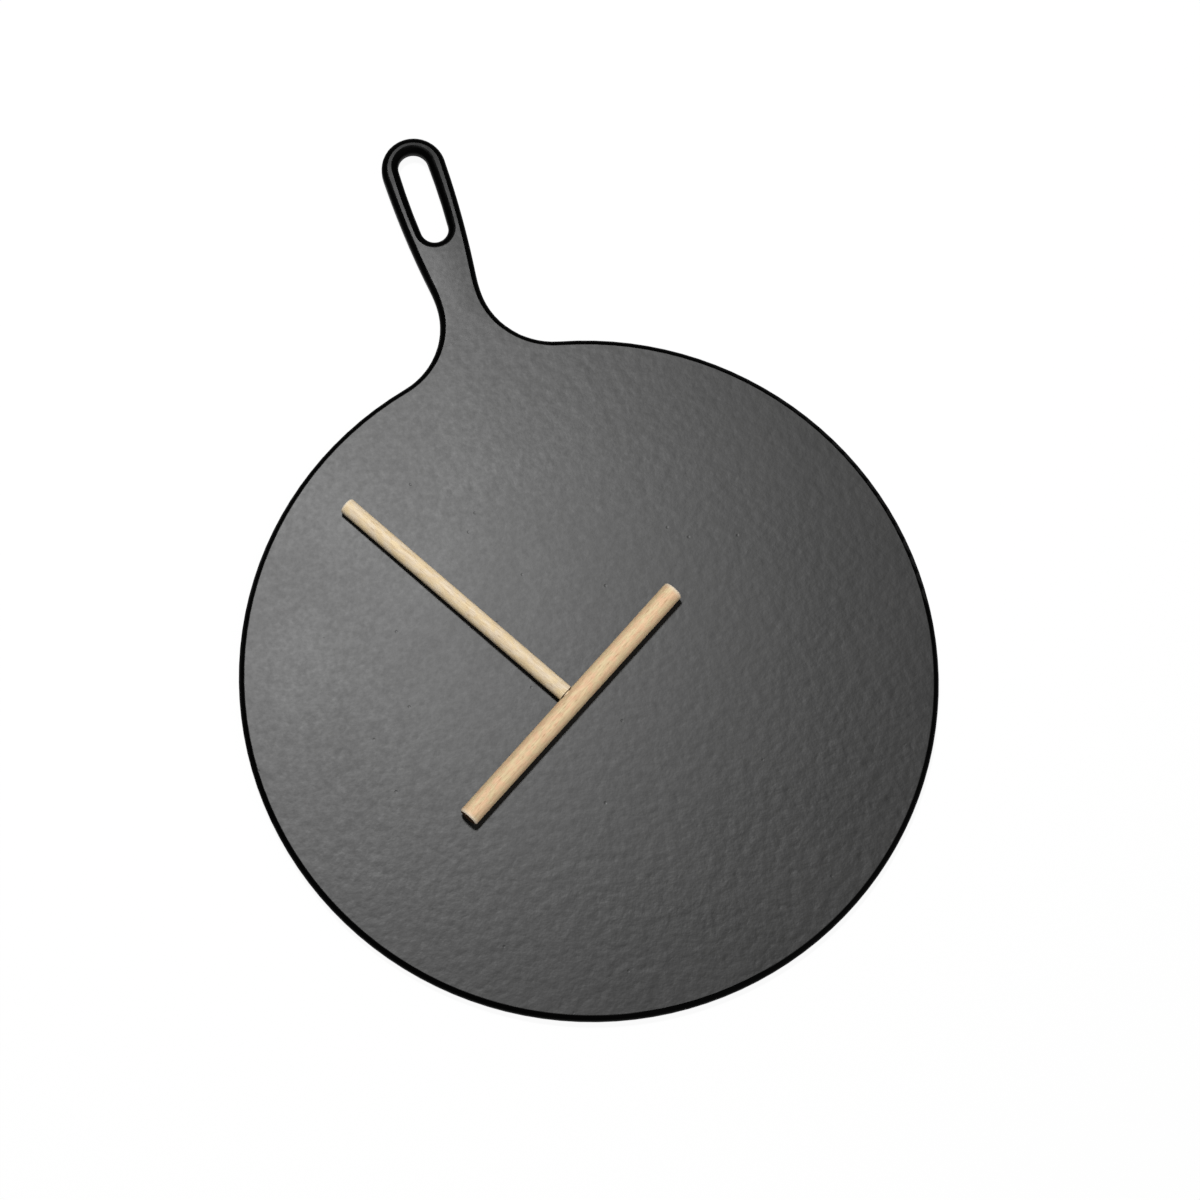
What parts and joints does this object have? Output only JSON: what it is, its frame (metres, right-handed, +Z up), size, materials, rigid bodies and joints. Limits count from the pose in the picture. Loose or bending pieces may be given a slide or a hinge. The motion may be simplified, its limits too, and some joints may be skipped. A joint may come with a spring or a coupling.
{
  "type": "crepe pan",
  "caption": "Flat round cast-iron crepe pan with an integral loop handle that hangs on a hook, and a loose T-shaped wooden batter spreader lying on it.",
  "frame": {"origin": "middle of the round base, on the plane that the pan rests on", "axes": "+Y from the middle of the plate along the handle, +Z up out of the cooking surface, +X to the right when looking along the handle from above"},
  "size_m": [0.3, 0.4048, 0.0154],
  "materials": {
    "cast_iron": "matt black, fine cast grain, rounded edges",
    "beech": "plain turned and sanded beech, unfinished"
  },
  "bodies": {
    "pan": {"pan": "cast_iron"},
    "spreader": {"spreader_crossbar": "beech", "spreader_stick": "beech"}
  },
  "joints": [
    {"name": "spreader_lift", "type": "slide", "parent": "pan", "child": "spreader", "axis": [0, 0, 1], "range_m": [0, 0.06]}
  ]
}
